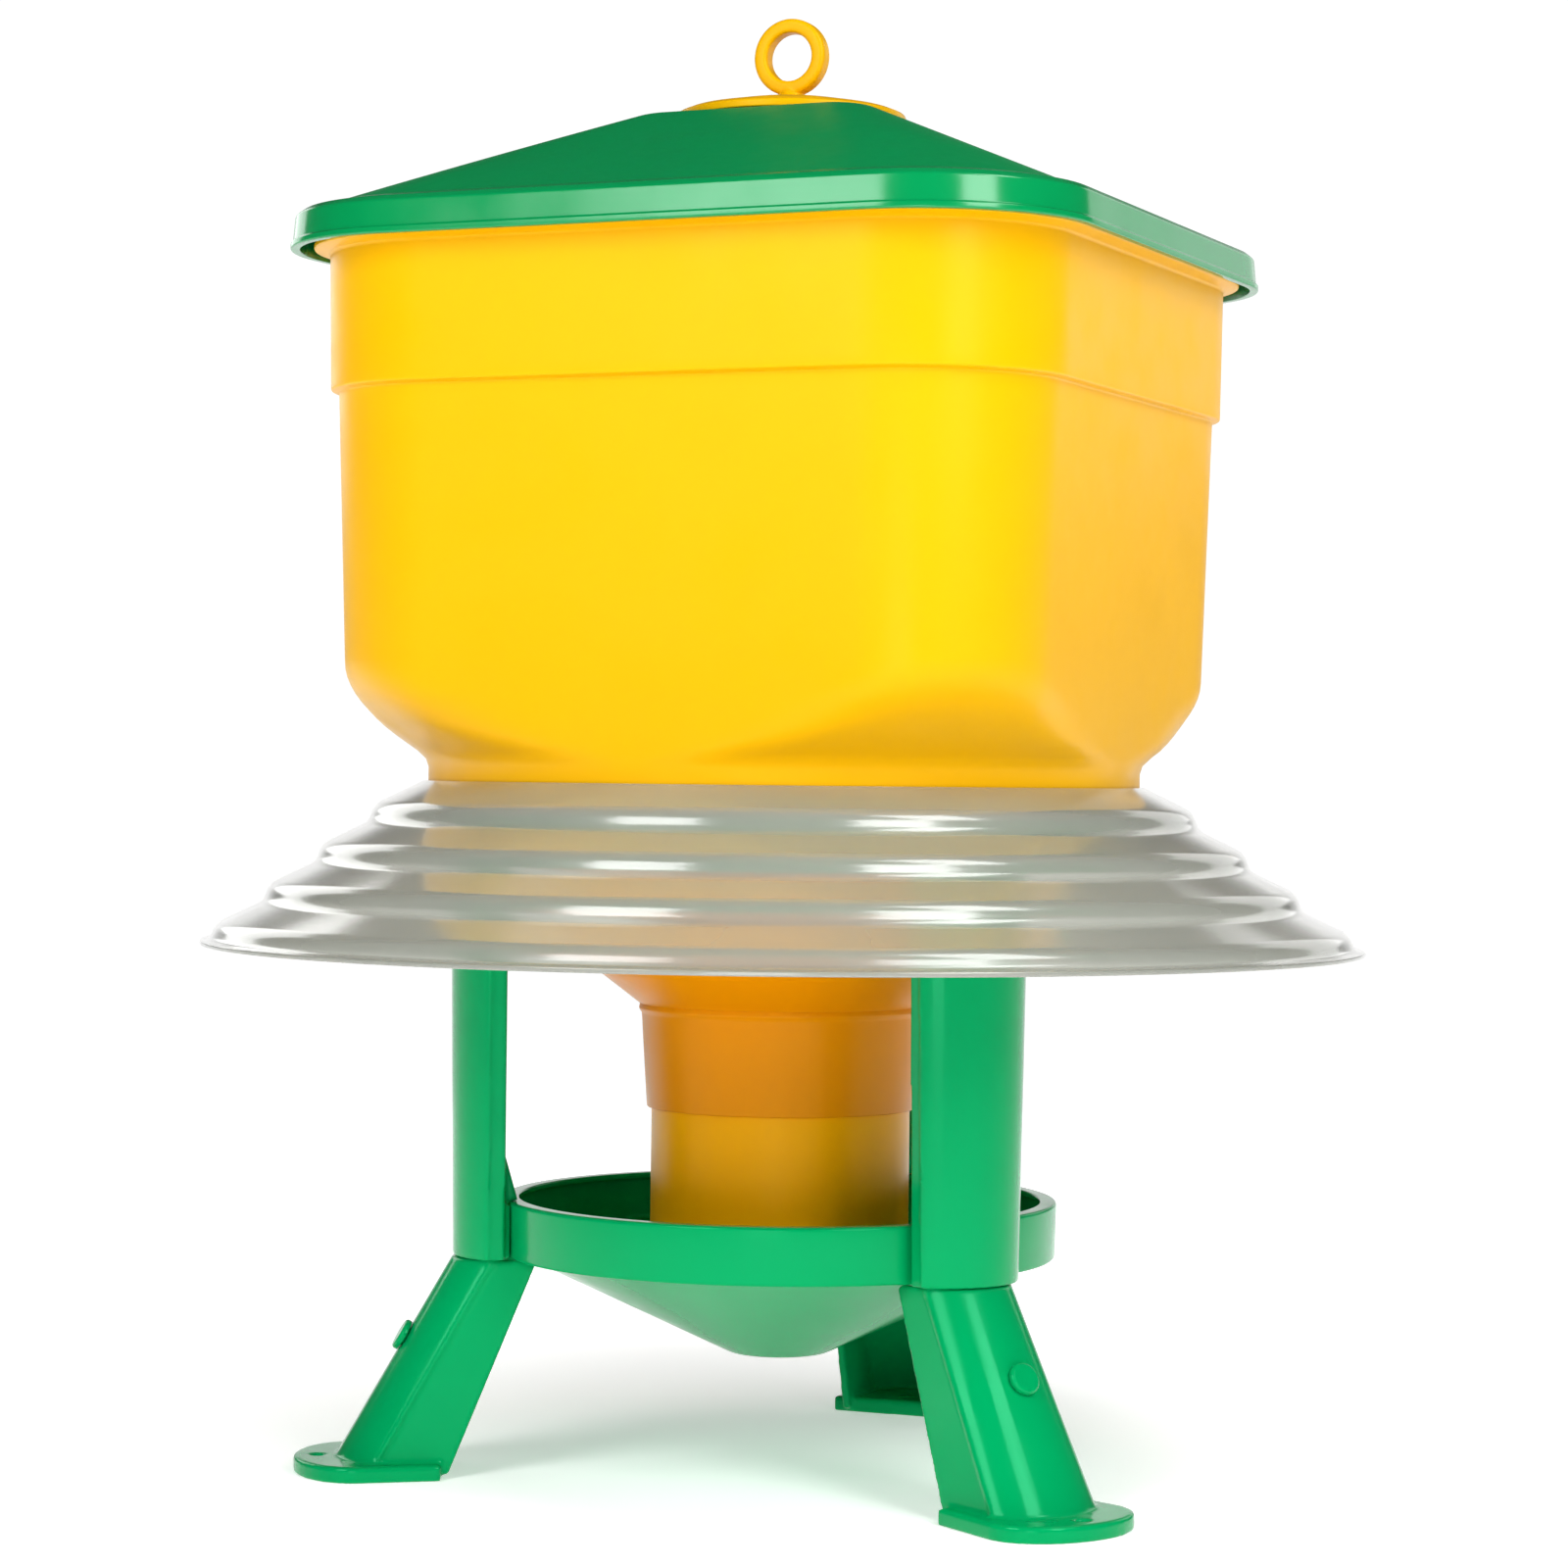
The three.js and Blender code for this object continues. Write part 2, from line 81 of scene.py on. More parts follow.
# Lid, cap and eye
LID_WALL = 3 * MM
EYE_HOLE = 9.3 * MM
EYE_RING_WIDTH = 7.2 * MM
EYE_STEM_RADIUS = 9 * MM
LID_SKIRT = 18 * MM
LID_TOP_HALF = 60 * MM
LID_STRAIGHT = 0.6
LID_TOP_STRAIGHT = 0.72
CAP_DOME = 3.2 * MM

# Stand
POST_INNER_RADIUS = 141.2 * MM
PAN_BAND_HEIGHT = 28.5 * MM
PAN_LIP = 8.5 * MM
PAN_FLOOR_RADIUS = 28 * MM
SADDLE_HALF_WIDTH = 26 * MM
STAND_VOXEL = 0.9 * MM

# Rain shield
SHIELD_WALL = 2.5 * MM
SHIELD_STEPS = 4
SHIELD_FIRST_RISER = 207 * MM
SHIELD_STEP_RUN = 26 * MM
SHIELD_STEP_DROP = 20 * MM
SHIELD_TOP_RISE = 71 * MM

# Moulded surface
CORNER_STEPS = 6
SHARP_ANGLE = math.radians(35)
DRIFT_SCALE = 9
WAVE_SCALE = 14
SMUDGE_SCALE = 26
PEEL_SCALE = 170
POLYPROPYLENE_IOR = 1.49
SUBSURFACE_REACH = (0.012, 0.008, 0.003)

# Studio
# The floor's glow is painted light: dim near the object as painted contact shade, full far out.
FLOOR_GLOW_NEAR = 0.36
FLOOR_GLOW_FAR = 1.0
FLOOR_GLOW_START = 0.15
FLOOR_GLOW_END = 0.6
ROOM_LIGHT = 0.05
COVE_LIGHT = 1.05
SOFTBOXES = [  # name, degrees to the camera's right, distance, lift, width, height, watts
    ("softbox_left", -37, 1.6, 0.75, 0.66, 1.0, 18),
    ("softbox_right", 32, 1.6, 0.75, 0.6, 1.0, 18),
    ("softbox_low", -5, 1.8, -0.1, 0.5, 0.5, 3),
    ("softbox_high", 52, 1.0, 1.2, 0.45, 0.7, 8),
    ("softbox_back_left", -140, 2.2, 0.7, 1.0, 1.0, 7),
    ("softbox_back_right", 140, 2.2, 0.7, 1.0, 1.0, 3.5),
]


# Outlines

def arc_corner(before, corner, after, radius):
    """Points of a round corner between two straight stretches."""
    a = Vector(before) - Vector(corner)
    b = Vector(after) - Vector(corner)
    half_angle = a.angle(b) / 2
    reach = min(radius / math.tan(half_angle), 0.49 * a.length, 0.49 * b.length)
    start = Vector(corner) + a.normalized() * reach
    end = Vector(corner) + b.normalized() * reach
    points = []
    for step in range(CORNER_STEPS + 1):
        t = step / CORNER_STEPS
        points.append(start * (1 - t) ** 2 + Vector(corner) * 2 * t * (1 - t) + end * t ** 2)
    return [tuple(p) for p in points]


def rounded(outline, closed=True):
    """An outline of (radius, z, corner radius in mm) with each corner rounded."""
    points = []
    count = len(outline)
    for i, (radius, z, corner) in enumerate(outline):
        at_end = not closed and i in (0, count - 1)
        if corner == 0 or at_end:
            points.append((radius, z))
            continue
        before = outline[i - 1][:2]
        after = outline[(i + 1) % count][:2]
        points += arc_corner(before, (radius, z), after, corner * MM)
    return points


def spaced(points, step, closed=True):
    """The same outline with no stretch longer than step."""
    result = []
    count = len(points) if closed else len(points) - 1
    for i in range(count):
        a, b = Vector(points[i]), Vector(points[(i + 1) % len(points)])
        parts = max(1, math.ceil((b - a).length / step))
        result += [tuple(a.lerp(b, k / parts)) for k in range(parts)]
    if not closed:
        result.append(points[-1])
    return result


# Meshes

def grid_object(name, columns):
    """A mesh from closed columns of points that run round the object. Points together are merged."""
    rows = len(columns[0])
    vertices = [point for column in columns for point in column]
    faces = []
    for i in range(len(columns)):
        current = i * rows
        following = ((i + 1) % len(columns)) * rows
        for j in range(rows):
            k = (j + 1) % rows
            faces.append((current + j, following + j, following + k, current + k))
    mesh = bpy.data.meshes.new(name)
    mesh.from_pydata(vertices, [], faces)
    return finish_mesh(name, mesh)


def finish_mesh(name, mesh):
    """Merges and orients a mesh, shades it smooth up to the sharp angle and puts it in the scene."""
    work = bmesh.new()
    work.from_mesh(mesh)
    bmesh.ops.remove_doubles(work, verts=work.verts, dist=1e-6)
    bmesh.ops.dissolve_degenerate(work, edges=work.edges, dist=1e-7)
    bmesh.ops.recalc_face_normals(work, faces=work.faces)
    work.to_mesh(mesh)
    work.free()
    mesh.shade_smooth()
    mesh.set_sharp_from_angle(angle=SHARP_ANGLE)
    piece = bpy.data.objects.new(name, mesh)
    bpy.context.scene.collection.objects.link(piece)
    return piece


def lathe(name, outline, columns=192):
    """A closed outline of (radius, z) turned about the Z axis."""
    turned = []
    for i in range(columns):
        angle = 2 * math.pi * i / columns
        turned.append([(r * math.cos(angle), r * math.sin(angle), z) for r, z in outline])
    return grid_object(name, turned)


def square_directions(straight_steps=14, corner_steps=20):
    """(share of the straight part along x and y, direction of the corner arc) round a square."""
    stations = []
    for quarter in range(4):
        turn = Matrix.Rotation(quarter * math.pi / 2, 2)
        for k in range(corner_steps):
            angle = math.pi / 2 * k / corner_steps
            stations.append((turn @ Vector((1, 1)), turn @ Vector((math.cos(angle), math.sin(angle)))))
        for k in range(straight_steps):
            along = 1 - 2 * k / straight_steps
            stations.append((turn @ Vector((along, 1)), turn @ Vector((0, 1))))
    return stations


def square_lathe(name, outline, straight_of):
    """A closed outline of (half width, z) carried round a square with round corners."""
    columns = []
    for along, out in square_directions():
        column = []
        for half, z in outline:
            straight = straight_of(half)
            point = along * straight + out * (half - straight)
            column.append((point.x, point.y, z))
        columns.append(column)
    return grid_object(name, columns)


def smooth_min(a, b, blend):
    """The smaller of two lengths, rounded over where they are within blend of each other."""
    h = max(blend - abs(a - b), 0) / blend
    return min(a, b) - h * h * blend / 4


def smooth_max(a, b, blend):
    return -smooth_min(-a, -b, blend)


def apply_modifier(piece, kind, **settings):
    modifier = piece.modifiers.new(kind.lower(), kind)
    for key, value in settings.items():
        setattr(modifier, key, value)
    graph = bpy.context.evaluated_depsgraph_get()
    mesh = bpy.data.meshes.new_from_object(piece.evaluated_get(graph))
    piece.modifiers.clear()
    piece.data = mesh
    return piece


def joined(name, pieces):
    """One object that holds the meshes of the pieces, which are removed."""
    work = bmesh.new()
    for piece in pieces:
        piece.data.transform(piece.matrix_world)
        work.from_mesh(piece.data)
        bpy.data.objects.remove(piece)
    mesh = bpy.data.meshes.new(name)
    work.to_mesh(mesh)
    work.free()
    whole = bpy.data.objects.new(name, mesh)
    bpy.context.scene.collection.objects.link(whole)
    return whole


def moulded(piece, voxel, smoothing):
    """Turns overlapping solids into one skin with softened corners."""
    apply_modifier(piece, "REMESH", mode="VOXEL", voxel_size=voxel, use_smooth_shade=True)
    apply_modifier(piece, "SMOOTH", factor=0.5, iterations=smoothing)
    piece.data.shade_smooth()
    return piece


def cad_copy(node):
    """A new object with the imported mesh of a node, to be moulded."""
    copy = bpy.data.objects.new(node + "_copy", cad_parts[node].data.copy())
    bpy.context.scene.collection.objects.link(copy)
    return copy


def place(piece, body, material, slot, *nodes):
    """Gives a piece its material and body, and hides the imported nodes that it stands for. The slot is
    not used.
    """
    piece.data.materials.clear()
    piece.data.materials.append(material)
    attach(piece, body)
    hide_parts(*nodes)
    return piece


# Materials

def plastic(
    name, colour, deep, roughness=0.34, ripple=0.0012, soft=0.06, sheen=(1, 1, 1), gloss_level=0.25
):
    """Moulded polypropylene: a slow colour drift, a fine orange-peel bump and uneven gloss."""
    material = bpy.data.materials.new(name)
    material.use_nodes = True
    nodes = material.node_tree.nodes
    links = material.node_tree.links
    shader = nodes["Principled BSDF"]
    place_in = nodes.new("ShaderNodeTexCoord").outputs["Object"]

    drift = noise(nodes, links, place_in, scale=DRIFT_SCALE, detail=3)
    mix = nodes.new("ShaderNodeMix")
    mix.data_type = "RGBA"
    mix.inputs["A"].default_value = (*deep, 1)
    mix.inputs["B"].default_value = (*colour, 1)
    links.new(spread(nodes, links, drift, 0.25, 0.6, 0.4, 1.0), mix.inputs["Factor"])
    links.new(mix.outputs["Result"], shader.inputs["Base Color"])

    smudge = noise(nodes, links, place_in, scale=SMUDGE_SCALE, detail=5)
    gloss = spread(nodes, links, smudge, 0.3, 0.7, roughness - 0.05, roughness + 0.08)
    links.new(gloss, shader.inputs["Roughness"])

    peel = noise(nodes, links, place_in, scale=PEEL_SCALE, detail=1)
    wave = noise(nodes, links, place_in, scale=WAVE_SCALE, detail=1)
    fine = bump(nodes, links, peel, 0.25, ripple / 20, None)
    broad = bump(nodes, links, wave, 0.25, ripple, fine)
    links.new(broad, shader.inputs["Normal"])

    shader.inputs["IOR"].default_value = POLYPROPYLENE_IOR
    shader.inputs["Specular IOR Level"].default_value = gloss_level
    shader.inputs["Specular Tint"].default_value = (*sheen, 1)
    shader.inputs["Subsurface Weight"].default_value = soft
    shader.inputs["Subsurface Radius"].default_value = SUBSURFACE_REACH
    shader.inputs["Subsurface Scale"].default_value = 0.5
    return material


def noise(nodes, links, vector, scale, detail):
    texture = nodes.new("ShaderNodeTexNoise")
    texture.inputs["Scale"].default_value = scale
    texture.inputs["Detail"].default_value = detail
    links.new(vector, texture.inputs["Vector"])
    return texture.outputs["Fac"]


def spread(nodes, links, value, from_low, from_high, to_low, to_high):
    remap = nodes.new("ShaderNodeMapRange")
    for key, number in zip(
        ("From Min", "From Max", "To Min", "To Max"), (from_low, from_high, to_low, to_high)
    ):
        remap.inputs[key].default_value = number
    links.new(value, remap.inputs["Value"])
    return remap.outputs["Result"]


def bump(nodes, links, height, strength, distance, normal):
    node = nodes.new("ShaderNodeBump")
    node.inputs["Strength"].default_value = strength
    node.inputs["Distance"].default_value = distance
    links.new(height, node.inputs["Height"])
    if normal is not None:
        links.new(normal, node.inputs["Normal"])
    return node.outputs["Normal"]


def duller_above(material, height, roughness, gloss_level):
    """Makes a plastic rougher and less glossy above a height, for a face duller than its rim."""
    nodes = material.node_tree.nodes
    links = material.node_tree.links
    shader = nodes["Principled BSDF"]
    gloss = shader.inputs["Roughness"].links[0].from_socket
    level = shader.inputs["Specular IOR Level"]
    split = nodes.new("ShaderNodeSeparateXYZ")
    links.new(nodes.new("ShaderNodeTexCoord").outputs["Object"], split.inputs["Vector"])
    low, high = height - 1 * MM, height + 4 * MM
    total = nodes.new("ShaderNodeMath")
    links.new(gloss, total.inputs[0])
    extra = spread(nodes, links, split.outputs["Z"], low, high, 0, roughness)
    links.new(extra, total.inputs[1])
    links.new(total.outputs["Value"], shader.inputs["Roughness"])
    faded = spread(nodes, links, split.outputs["Z"], low, high, level.default_value, gloss_level)
    links.new(faded, level)


def milky(name):
    """The shield's translucent sheet: light comes through blurred, under a smooth skin."""
    material = plastic(
        name, (0.52, 0.53, 0.47), (0.46, 0.48, 0.43), roughness=0.19, ripple=0.0001, soft=0
    )
    shader = material.node_tree.nodes["Principled BSDF"]
    shader.inputs["Transmission Weight"].default_value = 0.6
    shader.inputs["Coat Weight"].default_value = 1
    shader.inputs["Coat Roughness"].default_value = 0.13
    return material


YELLOW_SHEEN = (1, 0.8, 0.3)
YELLOW = plastic("yellow_polypropylene", (0.74, 0.385, 0.0), (0.72, 0.37, 0.0), sheen=YELLOW_SHEEN)
# Painted shade: a darker, more orange copy of the yellow, for the funnel and neck in the shield's
# shadow.
FUNNEL_SHADED_YELLOW = plastic(
    "funnel_yellow_painted_shade", (0.78, 0.26, 0.0), (0.75, 0.25, 0.0), sheen=YELLOW_SHEEN
)
# Painted light: a brighter copy of the yellow, for the sleeve that stands lit below the shield.
SLEEVE_LIT_YELLOW = plastic(
    "sleeve_yellow_painted_light", (0.94, 0.41, 0.0), (0.90, 0.38, 0.0), sheen=YELLOW_SHEEN
)
GREEN = plastic(
    "green_polypropylene", (0.0, 0.33, 0.10), (0.0, 0.30, 0.09), roughness=0.15, sheen=(0.2, 1, 0.6),
    gloss_level=0.28
)
# Painted shade: a darker copy of the stand's green, so that the lid's roof looks dim.
ROOF_SHADED_GREEN = plastic(
    "lid_green_painted_shade", (0.0, 0.22, 0.06), (0.0, 0.205, 0.055), roughness=0.14, sheen=(0.8, 1, 0.9),
    gloss_level=0.5
)
duller_above(ROOF_SHADED_GREEN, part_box("lid")[0].z + LID_SKIRT, roughness=0.28, gloss_level=0.12)
MILKY = milky("milky_polypropylene")


# Pieces

def build_lid():
    low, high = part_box("lid")
    half = high.x - 1 * MM
    skirt_top = low.z + LID_SKIRT
    shoulder = half - 14 * MM
    lid_hole = EYE_HOLE + 0.1 * MM
    outline = rounded([
        (lid_hole, high.z - LID_WALL, 0),
        (LID_TOP_HALF, high.z - LID_WALL, 20),
        (shoulder, skirt_top, 6),
        (half - 5 * MM, skirt_top - LID_WALL, 2),
        (half - LID_WALL, low.z, 0.6),
        (half + 1 * MM, low.z, 1),
        (half + 1 * MM, low.z + 3 * MM, 1.2),
        (half, low.z + 3.6 * MM, 0.8),
        (half - 1 * MM, skirt_top - 2 * MM, 2.5),
        (half - 4 * MM, skirt_top + 0.6 * MM, 2.5),
        (shoulder, skirt_top + LID_WALL, 6),
        (LID_TOP_HALF, high.z, 20),
        (lid_hole, high.z, 0),
    ])

    def straight_of(size):
        share = (half - size) / (half - LID_TOP_HALF)
        return size * (LID_STRAIGHT + (LID_TOP_STRAIGHT - LID_STRAIGHT) * share)

    lid = square_lathe("lid_skin", spaced(outline, 12 * MM), straight_of)
    return place(lid, "lid", ROOF_SHADED_GREEN, "green_plastic", "lid")


def build_cap():
    low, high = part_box("lid_cap")
    outline = rounded([
        (EYE_HOLE, low.z, 0),
        (high.x, low.z, 0.8),
        (high.x, low.z + 3.5 * MM, 1.4),
        (high.x - 5 * MM, high.z - 1 * MM, 5),
        (high.x - 26 * MM, high.z + CAP_DOME, 14),
        (EYE_HOLE, high.z + CAP_DOME, 0),
    ])
    return place(lathe("lid_cap_disc", outline), "lid", YELLOW, "yellow_plastic", "lid_cap")


def build_eye():
    low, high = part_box("hanging_eye")
    cap_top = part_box("lid_cap")[1].z + CAP_DOME
    outer = (high.x - low.x) / 2 - 0.4 * MM
    inner = outer - EYE_RING_WIDTH
    half = (high.y - low.y) / 2 - 8 * MM
    section = rounded([
        (inner, -half, 2.2),
        (outer, -half, 2.6),
        (outer, half, 2.6),
        (inner, half, 2.2),
    ])
    ring = lathe("eye_ring", section, 96)
    stand_up = Matrix.Rotation(math.pi / 2, 4, "X")
    ring.data.transform(Matrix.Translation((0, 0, high.z - outer)) @ stand_up)
    head = low.z + 5 * MM
    stem = lathe("eye_stem", rounded([
        (0, low.z, 0),
        (13 * MM, low.z, 1),
        (13 * MM, head, 1),
        (EYE_STEM_RADIUS, head, 0),
        (EYE_STEM_RADIUS, cap_top + 0.3 * MM, 0),
        (12 * MM, cap_top + 0.3 * MM, 0.6),
        (11 * MM, cap_top + 2.2 * MM, 1.6),
        (6.5 * MM, cap_top + 4 * MM, 1.6),
        (5 * MM, cap_top + 8 * MM, 0),
        (0, cap_top + 8 * MM, 0),
    ]), 64)
    eye = moulded(joined("hanging_eye_moulding", [ring, stem]), 0.6 * MM, 6)
    return place(eye, "eye", YELLOW, "yellow_plastic", "hanging_eye")


def build_tub():
    low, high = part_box("hopper_tub")
    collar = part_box("feed_funnel")[1].x + WALL + 1 * MM
    inner_top = high.z - 2 * MM
    outer = rounded([
        (LIP_RADIUS, low.z, 0),
        (TUB_FOOT_HALF, low.z, 1),
        (LEDGE_HALF, LEDGE_HEIGHT, 1.5),
        (BAND_HALF, LEDGE_HEIGHT + 1.2 * MM, 1.5),
        (TUB_TOP_HALF - 1 * MM, FLANGE_HEIGHT - 2 * MM, 2),
        (high.x, FLANGE_HEIGHT, 1.2),
        (high.x, FLANGE_HEIGHT + 3 * MM, 1.2),
        (TUB_TOP_HALF, FLANGE_HEIGHT + 3 * MM, 1),
        (TUB_TOP_HALF, high.z, 1),
        (TUB_TOP_HALF - WALL, high.z, 1),
    ], closed=False)
    inner = rounded([
        (TUB_TOP_HALF - WALL, inner_top, 0),
        (BAND_HALF - WALL, LEDGE_HEIGHT + 1.2 * MM, 1.5),
        (LEDGE_HALF - WALL, LEDGE_HEIGHT, 1.5),
        (TUB_FOOT_HALF - WALL, low.z + WALL, 1),
        (LIP_RADIUS, low.z + WALL, 0),
    ], closed=False)
    outer = spaced(outer, 4 * MM, closed=False)
    inner = spaced(inner, 4 * MM, closed=False)
    rows = [(half, z, 0) for half, z in outer] + [(half, z, WALL) for half, z in inner]

    columns = []
    for along, out in square_directions(36, 28):
        column = []
        for half, z, inset in rows:
            straight = min(TUB_STRAIGHT, half * 0.9)
            point = along * straight + out * (half - straight)
            rise = z - low.z - COLLAR_HEIGHT
            limit = collar - inset + smooth_max(0, rise, COLLAR_FILLET) / CORNER_CONE_SLOPE
            blend = CORNER_BLEND * min(1, max(0.02, rise / CORNER_BLEND_RISE))
            radius = smooth_min(point.length, limit, blend)
            if half <= LIP_RADIUS:
                radius = LIP_RADIUS
            point *= radius / point.length
            column.append((point.x, point.y, z))
        columns.append(column)
    tub = grid_object("hopper_tub_skin", columns)
    return place(tub, "hopper", YELLOW, "yellow_plastic", "hopper_tub")


def build_neck():
    low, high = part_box("feed_neck")
    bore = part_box("feed_sleeve")[1].x + SLIDING_PLAY
    outline = rounded([
        (bore, low.z, 0.4),
        (bore + 2 * MM, low.z, 0.8),
        (71 * MM, high.z - 4.5 * MM, 3),
        (72.5 * MM, high.z - 2.2 * MM, 1.6),
        (NECK_TOP_RADIUS, high.z + 0.3 * MM, 0),
        (bore, high.z + 0.3 * MM, 0),
    ])
    neck = lathe("feed_neck_skin", outline)
    return place(neck, "hopper", FUNNEL_SHADED_YELLOW, "yellow_plastic", "feed_neck")


def build_funnel():
    low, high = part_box("feed_funnel")
    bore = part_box("feed_sleeve")[1].x + SLIDING_PLAY
    outline = rounded([
        (bore, low.z, 0),
        (NECK_TOP_RADIUS, low.z, 0.6),
        (FUNNEL_BEND_RADIUS, low.z + 16 * MM, 14),
        (137 * MM, low.z + 60 * MM, 20),
        (160 * MM, high.z - 3 * MM, 2),
        (high.x, high.z - 3 * MM, 0.8),
        (high.x, high.z, 0.8),
        (158 * MM, high.z, 2),
        (134 * MM, low.z + 62 * MM, 20),
        (FUNNEL_BEND_RADIUS - 3 * MM, low.z + 19 * MM, 14),
        (bore, low.z + 3 * MM, 3),
    ])
    funnel = lathe("feed_funnel_skin", outline)
    return place(funnel, "hopper", FUNNEL_SHADED_YELLOW, "yellow_plastic", "feed_funnel")


def build_sleeve():
    low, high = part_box("feed_sleeve")
    inner = high.x - SLEEVE_WALL
    outline = rounded([
        (inner, low.z, 0.6),
        (high.x, low.z, 1),
        (high.x, high.z, 0.8),
        (inner, high.z, 0.8),
    ])
    sleeve = lathe("feed_sleeve_tube", outline)
    return place(sleeve, "sleeve", SLEEVE_LIT_YELLOW, "yellow_plastic", "feed_sleeve")


def build_shield():
    low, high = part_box("rain_shield")
    seat = high.z - 2.3 * MM
    lip = 180.6 * MM
    first_riser_z = low.z + SHIELD_TOP_RISE

    def skin(drop):
        points = [(182.5 * MM, high.z - drop, 1.5)]
        for step in range(SHIELD_STEPS):
            radius = SHIELD_FIRST_RISER + step * SHIELD_STEP_RUN
            z = first_riser_z - step * SHIELD_STEP_DROP - drop
            points.append((radius, z, 14))
            if step < SHIELD_STEPS - 1:
                points.append((radius + 3 * MM, z - 9 * MM, 9))
        points.append((high.x - 5 * MM, low.z + 3.5 * MM - drop, 4))
        points.append((high.x, low.z + SHIELD_WALL - drop, 0.8))
        return points

    upper = [(LIP_RADIUS, seat, 0), (lip, seat, 0.5), (lip, high.z, 0.5)] + skin(0)
    lower = [(LIP_RADIUS, seat - SHIELD_WALL, 0)] + skin(SHIELD_WALL)
    outline = rounded(lower + upper[::-1])
    shield = lathe("rain_shield_skin", outline, 256)
    return place(shield, "hopper", MILKY, "milky_plastic", "rain_shield")


def build_ring():
    low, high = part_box("support_ring")
    inner = high.x - WALL
    outline = rounded([
        (POST_INNER_RADIUS, low.z, 0.8),
        (high.x, low.z, 1.5),
        (high.x, high.z, 1.5),
        (LIP_RADIUS, high.z, 0.8),
        (LIP_RADIUS, high.z - 3 * MM, 0.8),
        (inner, high.z - 3 * MM, 2),
        (inner, low.z + 3 * MM, 2),
        (POST_INNER_RADIUS, low.z + 3 * MM, 0.8),
    ])
    ring = lathe("support_ring_moulding", outline)
    return place(ring, "stand", GREEN, "green_plastic", "support_ring")


def build_pan():
    low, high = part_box("feed_pan")
    band_z = high.z - PAN_BAND_HEIGHT
    radius = high.x
    inner = radius - WALL
    cone = radius - 9.5 * MM
    outline = rounded([
        (0, low.z, 0),
        (PAN_FLOOR_RADIUS - 4 * MM, low.z, 14),
        (cone, band_z, 2.5),
        (radius - 0.6 * MM, band_z, 2),
        (radius, high.z, 2),
        (radius - PAN_LIP, high.z, 1.2),
        (radius - PAN_LIP, high.z - 3 * MM, 0.8),
        (inner, high.z - 3 * MM, 2),
        (inner, band_z + WALL, 3),
        (cone - 1 * MM, band_z + WALL, 3),
        (PAN_FLOOR_RADIUS - 5 * MM, low.z + WALL, 14),
        (0, low.z + WALL, 0),
    ])
    pan = lathe("feed_pan_moulding", outline)
    return place(pan, "stand", GREEN, "green_plastic", "feed_pan")


def pan_saddle(where):
    """A block across the post's open side, where the pan's band is moulded on to it."""
    pan_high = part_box("feed_pan")[1]
    corners = [v.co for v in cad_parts[f"post_{where}"].data.vertices]
    middle = sum(corners, Vector()) / len(corners)
    inner, outer = pan_high.x - 2 * MM, pan_high.x + 7 * MM
    base, top = pan_high.z - 28 * MM, pan_high.z - 1 * MM
    size = Matrix.Diagonal((outer - inner, 2 * SADDLE_HALF_WIDTH, top - base, 1))
    centre = Matrix.Translation(((outer + inner) / 2, 0, (top + base) / 2))
    work = bmesh.new()
    bmesh.ops.create_cube(work, size=1)
    turn = Matrix.Rotation(math.atan2(middle.y, middle.x), 4, "Z")
    bmesh.ops.transform(work, matrix=turn @ centre @ size, verts=work.verts)
    mesh = bpy.data.meshes.new("pan_saddle")
    work.to_mesh(mesh)
    work.free()
    saddle = bpy.data.objects.new("pan_saddle", mesh)
    bpy.context.scene.collection.objects.link(saddle)
    return saddle


def build_stand_corner(where):
    post = joined(f"post_{where}_solid", [cad_copy(f"post_{where}"), pan_saddle(where)])
    post = moulded(post, STAND_VOXEL, 12)
    post.name = f"post_{where}_moulding"
    place(post, "stand", GREEN, "green_plastic", f"post_{where}")
    leg = moulded(cad_copy(f"leg_{where}"), STAND_VOXEL, 14)
    leg.name = f"leg_{where}_moulding"
    place(leg, "stand", GREEN, "green_plastic", f"leg_{where}")
    plug = moulded(cad_copy(f"leg_plug_{where}"), 0.35 * MM, 4)
    plug.name = f"leg_plug_{where}_moulding"
    place(plug, "stand", GREEN, "green_plastic", f"leg_plug_{where}")


# Studio

def build_floor():
    bpy.ops.mesh.primitive_plane_add(size=60)
    floor = bpy.context.object
    floor.name = "studio_floor"
    material = bpy.data.materials.new("studio_floor")
    material.use_nodes = True
    shader = material.node_tree.nodes["Principled BSDF"]
    shader.inputs["Base Color"].default_value = (0.9, 0.9, 0.9, 1)
    shader.inputs["Roughness"].default_value = 0.9
    shader.inputs["Specular IOR Level"].default_value = 0
    shader.inputs["Emission Color"].default_value = (1, 1, 1, 1)
    nodes = material.node_tree.nodes
    links = material.node_tree.links
    distance = nodes.new("ShaderNodeVectorMath")
    distance.operation = "LENGTH"
    links.new(nodes.new("ShaderNodeTexCoord").outputs["Object"], distance.inputs[0])
    # Painted light: the floor glows, dimmer near the object as painted contact shade and full far out.
    glow = spread(
        nodes, links, distance.outputs["Value"],
        FLOOR_GLOW_START, FLOOR_GLOW_END, FLOOR_GLOW_NEAR, FLOOR_GLOW_FAR
    )
    links.new(glow, shader.inputs["Emission Strength"])
    floor.data.materials.append(material)


def area_light(name, location, target, width, height, power):
    data = bpy.data.lights.new(name, "AREA")
    data.shape = "RECTANGLE"
    data.size = width
    data.size_y = height
    data.energy = power
    light = bpy.data.objects.new(name, data)
    light.location = location
    light.rotation_euler = (Vector(target) - Vector(location)).to_track_quat("-Z", "Y").to_euler()
    bpy.context.scene.collection.objects.link(light)


